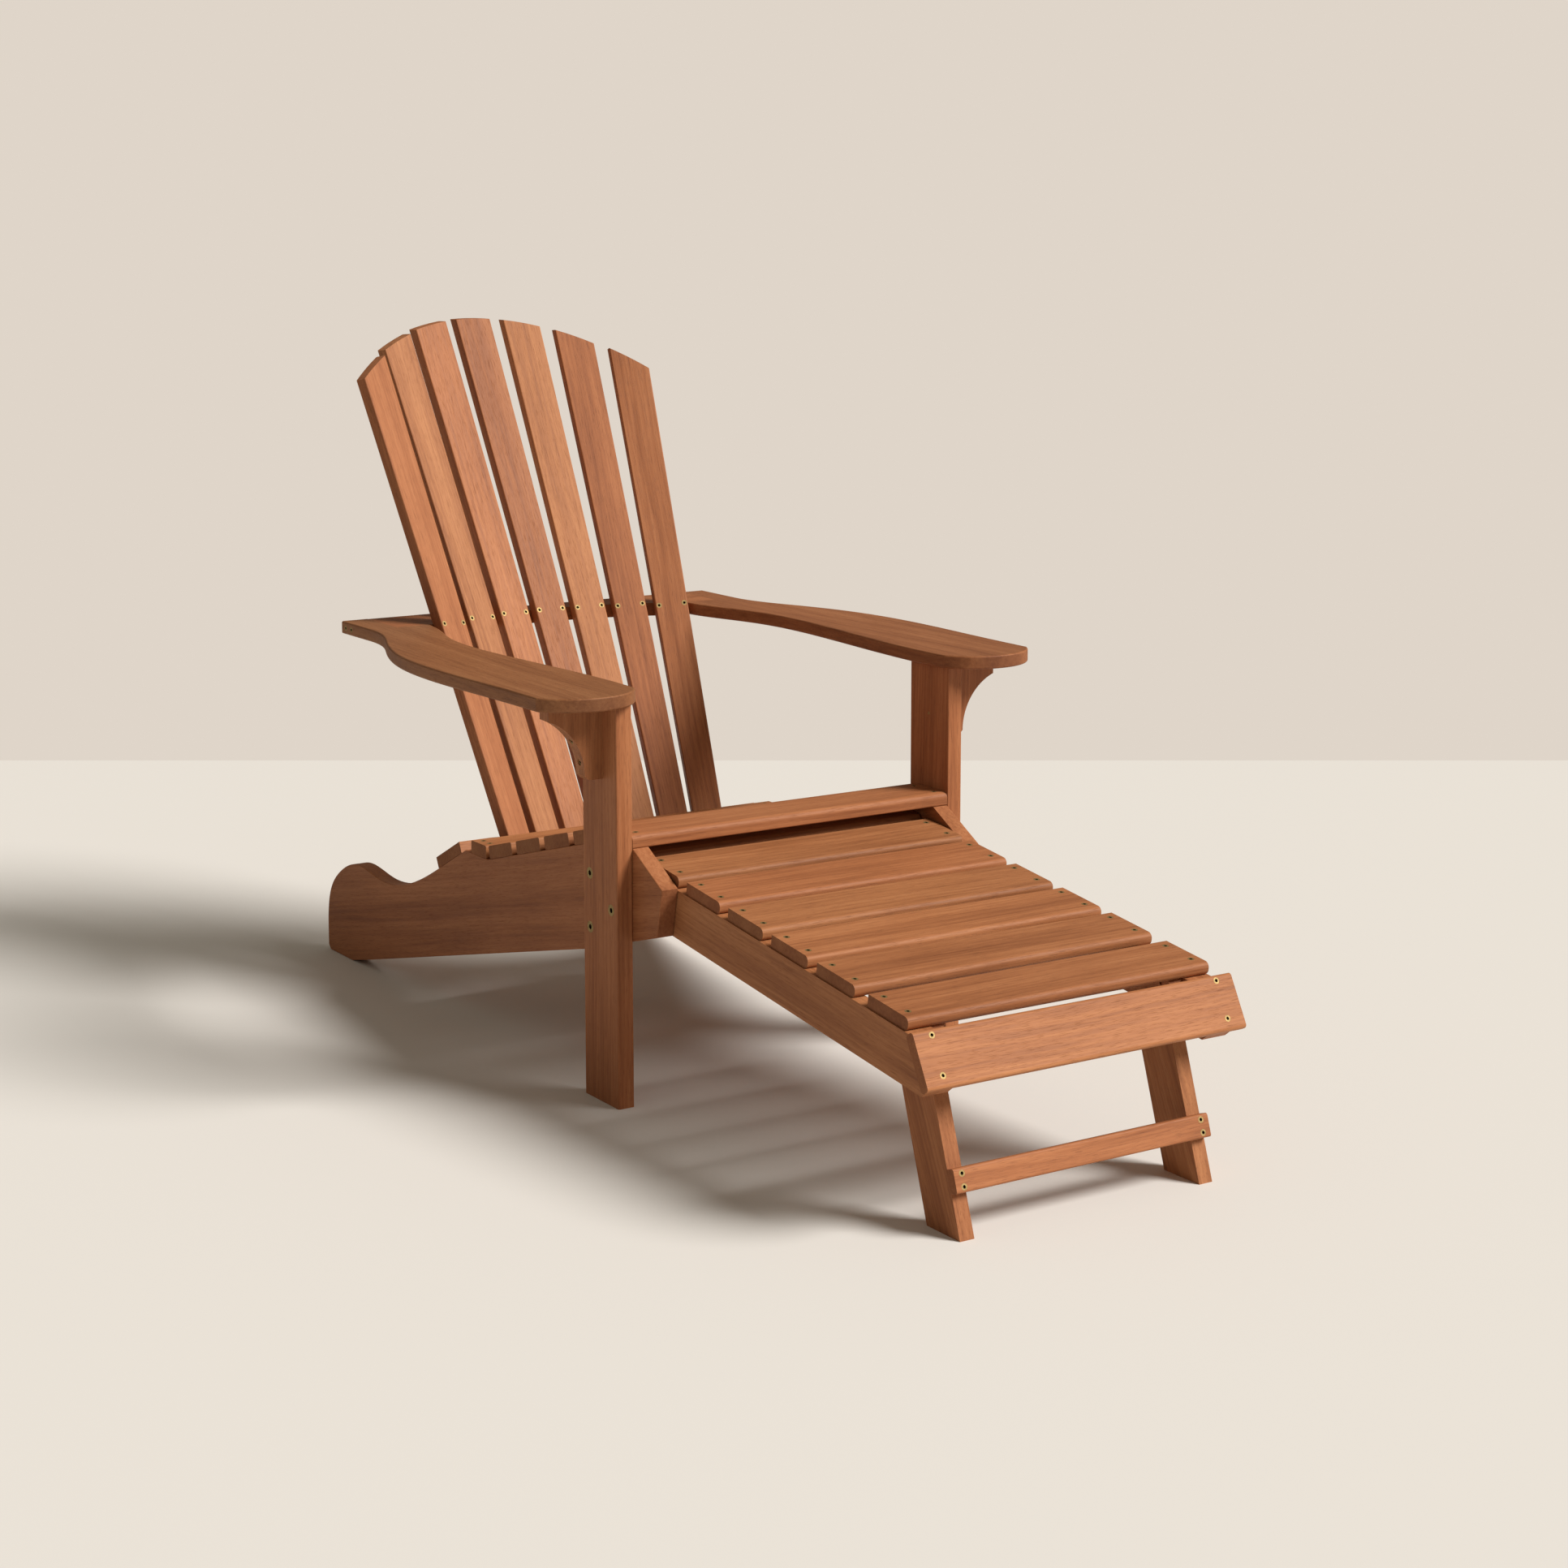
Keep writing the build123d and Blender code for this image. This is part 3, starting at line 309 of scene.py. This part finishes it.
def fastener_places(*names):
    """Middle of each head's face and the way it faces, and the length, for the fasteners in CAD nodes."""
    found = []
    for name in names:
        mesh = bmesh.new()
        mesh.from_mesh(nodes[name].data)
        bmesh.ops.remove_doubles(mesh, verts=mesh.verts, dist=same_point)
        left = set(mesh.verts)
        while left:
            reached = [left.pop()]
            for vert in reached:
                near = {edge.other_vert(vert) for edge in vert.link_edges} & left
                left -= near
                reached.extend(near)
            found.append(one_place(np.array([vert.co for vert in reached])))
        mesh.free()
    return found


def one_place(points):
    """Head, direction and length of one fastener, whose head is its wider end."""
    centre = points.mean(0)
    axis = np.linalg.eigh(np.cov((points - centre).T))[1][:, -1]
    along = (points - centre) @ axis
    away = np.linalg.norm(points - centre - np.outer(along, axis), axis=1)
    far_radius = away[along > along.max() - end_depth].max()
    near_radius = away[along < along.min() + end_depth].max()
    if near_radius > far_radius:
        axis, along = -axis, -along
    return Vector(centre + axis * along.max()), Vector(axis), along.max() - along.min()


class Tree:
    """A geometry node tree with named inputs."""

    def __init__(self, name, sizes):
        self.tree = bpy.data.node_groups.new(name, "GeometryNodeTree")
        self.tree.interface.new_socket("Places", in_out="INPUT", socket_type="NodeSocketGeometry")
        for label, value in sizes.items():
            made = self.tree.interface.new_socket(label, in_out="INPUT", socket_type="NodeSocketFloat")
            made.default_value = value
        # The second material paints shade onto the hexagon socket walls.
        for label in ("Material", "Painted Shade Material"):
            self.tree.interface.new_socket(label, in_out="INPUT", socket_type="NodeSocketMaterial")
        self.tree.interface.new_socket("Pieces", in_out="OUTPUT", socket_type="NodeSocketGeometry")
        self.given = self.tree.nodes.new("NodeGroupInput").outputs

    def node(self, kind, settings=None, sockets=None):
        """Adds a node with its settings and sockets, and gives its first output."""
        made = self.tree.nodes.new(kind)
        for name, value in (settings or {}).items():
            setattr(made, name, value)
        for name, value in (sockets or {}).items():
            socket = made.inputs[name]
            for one in value if isinstance(value, list) else [value]:
                if isinstance(one, bpy.types.NodeSocket):
                    self.tree.links.new(one, socket)
                else:
                    socket.default_value = one
        return made.outputs[0]

    def maths(self, operation, first, second):
        return self.node("ShaderNodeMath", {"operation": operation}, {0: first, 1: second})

    def moved(self, geometry, lift):
        """Geometry moved along its own Z."""
        shift = self.node("ShaderNodeCombineXYZ", None, {2: lift})
        return self.node("GeometryNodeTransform", None, {"Geometry": geometry, "Translation": shift})

    def end(self, geometry):
        """Makes copies real, gives them their materials and sends them out."""
        real = self.node("GeometryNodeRealizeInstances", None, {0: geometry})
        body = self.node("GeometryNodeSetMaterial", None, {0: real, "Material": self.given["Material"]})
        # The socket walls take the second material, which is painted shade.
        recess = self.node("GeometryNodeInputNamedAttribute", {"data_type": "BOOLEAN"}, {"Name": "recess"})
        inside = {0: body, "Selection": recess, "Material": self.given["Painted Shade Material"]}
        done = self.node("GeometryNodeSetMaterial", None, inside)
        self.tree.links.new(done, self.tree.nodes.new("NodeGroupOutput").inputs[0])


head_sides = 40
shank_sides = 20
socket_sides = 6


def fastener_tree(name, sizes, head_taper):
    """Tree of socket-headed fasteners on points that say which way each one faces."""
    made = Tree(name, sizes)
    given = made.given
    under = given["Shank Radius"] if head_taper else given["Head Radius"]
    shape = {"Vertices": head_sides, "Radius Top": given["Head Radius"], "Radius Bottom": under}
    cone = made.node("GeometryNodeMeshCone", None, {**shape, "Depth": given["Head Depth"]})
    head = made.moved(cone, made.maths("MULTIPLY", given["Head Depth"], -1.0))
    reach = made.maths("MULTIPLY", given["Socket Depth"], 2.0)
    prism = {"Vertices": socket_sides, "Radius": given["Socket Radius"], "Depth": reach}
    plug = made.node("GeometryNodeMeshCylinder", None, prism)
    # The socket's walls are marked here so that they get the painted shade.
    marked = {"Geometry": plug, "Name": "recess", "Value": True}
    key = made.node("GeometryNodeStoreNamedAttribute", {"data_type": "BOOLEAN", "domain": "FACE"}, marked)
    cut = made.node("GeometryNodeMeshBoolean", {"operation": "DIFFERENCE"}, {"Mesh 1": head, "Mesh 2": key})
    span = made.maths("SUBTRACT", given["Length"], given["Head Depth"])
    rod = {"Vertices": shank_sides, "Radius": given["Shank Radius"], "Depth": span}
    shank = made.node("GeometryNodeMeshCylinder", None, rod)
    low = made.maths("MULTIPLY", made.maths("ADD", given["Length"], given["Head Depth"]), -0.5)
    whole = made.node("GeometryNodeJoinGeometry", None, {0: [made.moved(shank, low), cut]})
    facing = made.node("GeometryNodeInputNamedAttribute", {"data_type": "FLOAT_VECTOR"}, {"Name": "facing"})
    turn = made.node("FunctionNodeAlignRotationToVector", {"axis": "Z"}, {"Vector": facing})
    copies = {"Points": given["Places"], "Instance": whole, "Rotation": turn}
    made.end(made.node("GeometryNodeInstanceOnPoints", None, copies))
    return made.tree


def set_fasteners(name, tree, sizes, material, body, slot, *replaced):
    """One mesh of fasteners, all of one length, that stands for CAD nodes and rides on a body."""
    places = fastener_places(*replaced)
    mesh = bpy.data.meshes.new(name)
    mesh.from_pydata([place for place, _, _ in places], [], [])
    facings = mesh.attributes.new("facing", "FLOAT_VECTOR", "POINT")
    facings.data.foreach_set("vector", [part for _, facing, _ in places for part in facing])
    piece = bpy.data.objects.new(name, mesh)
    bpy.context.scene.collection.objects.link(piece)
    modifier = piece.modifiers.new("made", "NODES")
    modifier.node_group = tree
    length = places[0][2]
    # The socket walls get the near-black brass, which is painted shade.
    given = {**sizes, "Length": length, "Material": material, "Painted Shade Material": brass_painted_socket_shade}
    for item in tree.interface.items_tree:
        if item.in_out == "INPUT" and item.name in given:
            modifier[item.identifier] = given[item.name]
    seen = piece.evaluated_get(bpy.context.evaluated_depsgraph_get())
    solid = bpy.data.meshes.new_from_object(seen)
    piece.modifiers.clear()
    piece.data = solid
    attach(piece, body)
    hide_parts(*replaced)


screw_sizes = {
    "Head Radius": 0.0040, "Shank Radius": 0.0020, "Head Depth": 0.0023,
    "Socket Radius": 0.0022, "Socket Depth": 0.0021, "Length": 0.034,
}
screw_tree = fastener_tree("countersunk_screw", screw_sizes, head_taper=True)
set_fasteners(
    "chair_screws", screw_tree, screw_sizes, brass, "chair", "brass",
    "seat_screws", "back_slat_screws", "lower_brace_screws",
)
set_fasteners(
    "chair_long_screws", screw_tree, screw_sizes, brass, "chair", "brass", "arm_neck_screws", "corbel_screws",
)

# ---------------------------------------------------------------- post bolts and inserts
# Three furniture bolts through each post, in threaded inserts in the rail behind it.
bolt_sizes = {
    "Head Radius": 0.0075, "Shank Radius": 0.0035, "Head Depth": 0.0030,
    "Socket Radius": 0.0036, "Socket Depth": 0.0027, "Length": 0.038,
}
bolt_tree = fastener_tree("furniture_bolt", bolt_sizes, head_taper=False)
set_fasteners("furniture_bolts", bolt_tree, bolt_sizes, brass, "chair", "brass", "post_bolts")
paint("threaded_inserts", steel)

# ---------------------------------------------------------------- footrest rails, blocks and rear rod
# Two rails on edge under the slats, a block inside each one for the leg's pivot, a cleat
# that stops the leg, and a hardwood rod whose ends run in the chair's grooves.
finish_boards("footrest_rail_left", "footrest_rail_right", "leg_block_left", "leg_block_right")
finish_boards("footrest_rear_rod")
finish_sawn("leg_stop_cleats", upright_grain)

# ---------------------------------------------------------------- footrest slats and apron
# Six slats, a narrow batten over the rod, and a deep apron that leans out across the front.
finish_boards(*[f"footrest_slat_{number}" for number in range(1, 7)])
finish_boards("footrest_rear_batten", "footrest_apron")
set_fasteners(
    "footrest_screws", screw_tree, screw_sizes, brass, "footrest", "brass",
    "footrest_slat_screws", "footrest_apron_screws", "leg_block_screws",
)

# ---------------------------------------------------------------- footrest legs
# Two legs that turn on bolts and fold under the slats, joined by a stretcher.
finish_boards("footrest_leg_left", "footrest_leg_right", "leg_stretcher")
set_fasteners("leg_frame_screws", screw_tree, screw_sizes, brass, "leg_frame", "brass", "leg_screws")
paint("leg_pivot_bolts", steel)

# ---------------------------------------------------------------- floor, light and camera
# A plain pale floor that ends level behind the chair, where a pale wall's foot would be. One
# broad soft light comes from the front and right, and a long lens looks from the left of the front.
camera_turn = -32.939      # degrees from looking along +Y, anticlockwise from above
floor_reach = 45.0
floor_back = 2.035      # from the origin to the far edge, straight away from the camera
ahead = Vector((-sin(radians(camera_turn)), cos(radians(camera_turn)), 0))
right = Vector((ahead.y, -ahead.x, 0))
corners = [
    right * across + ahead * along
    for across, along in (
        (-floor_reach, -floor_reach),
        (floor_reach, -floor_reach),
        (floor_reach, floor_back),
        (-floor_reach, floor_back),
    )
]
floor_data = bpy.data.meshes.new("floor")
floor_data.from_pydata(corners, [], [(0, 1, 2, 3)])
floor = bpy.data.objects.new("floor", floor_data)
bpy.context.scene.collection.objects.link(floor)
pale = Finish("pale_floor")
pale.surface(Base_Color=(0.735, 0.715, 0.69, 1), Roughness=0.85)
floor.data.materials.append(pale.material)

world = bpy.data.worlds.new("studio")
world.use_nodes = True
studio = world.node_tree
ambient = studio.nodes["Background"]
ambient.inputs["Color"].default_value = (0.97, 0.87, 0.70, 1)
ambient.inputs["Strength"].default_value = 0.24
backdrop = studio.nodes.new("ShaderNodeBackground")
backdrop.inputs["Color"].default_value = (0.74, 0.665, 0.585, 1)
ray = studio.nodes.new("ShaderNodeLightPath")
chosen = studio.nodes.new("ShaderNodeMixShader")
studio.links.new(ray.outputs["Is Camera Ray"], chosen.inputs[0])
studio.links.new(ambient.outputs[0], chosen.inputs[1])
studio.links.new(backdrop.outputs[0], chosen.inputs[2])
studio.links.new(chosen.outputs[0], studio.nodes["World Output"].inputs["Surface"])
bpy.context.scene.world = world

key_direction = Vector((-0.52, 0.58, -0.68))
key_data = bpy.data.lights.new("soft_key", "SUN")
key_data.energy = 4.3
key_data.angle = radians(24)
key_data.color = (1.0, 0.965, 0.915)
key = bpy.data.objects.new("soft_key", key_data)
key.rotation_euler = key_direction.to_track_quat("-Z", "Y").to_euler()
bpy.context.scene.collection.objects.link(key)
bpy.context.scene.view_settings.view_transform = "Standard"

camera_place = (-2.0269, -3.2641, 1.1477)
camera_tilt = 8.420      # degrees down from level
camera_data = bpy.data.cameras.new("camera")
camera_data.sensor_width = 36.0
camera_data.lens = 66.569
camera_data.shift_y = -0.10
camera = bpy.data.objects.new("camera", camera_data)
camera.location = camera_place
camera.rotation_euler = Euler((radians(90 - camera_tilt), 0, radians(camera_turn)))
bpy.context.scene.collection.objects.link(camera)
bpy.context.scene.camera = camera
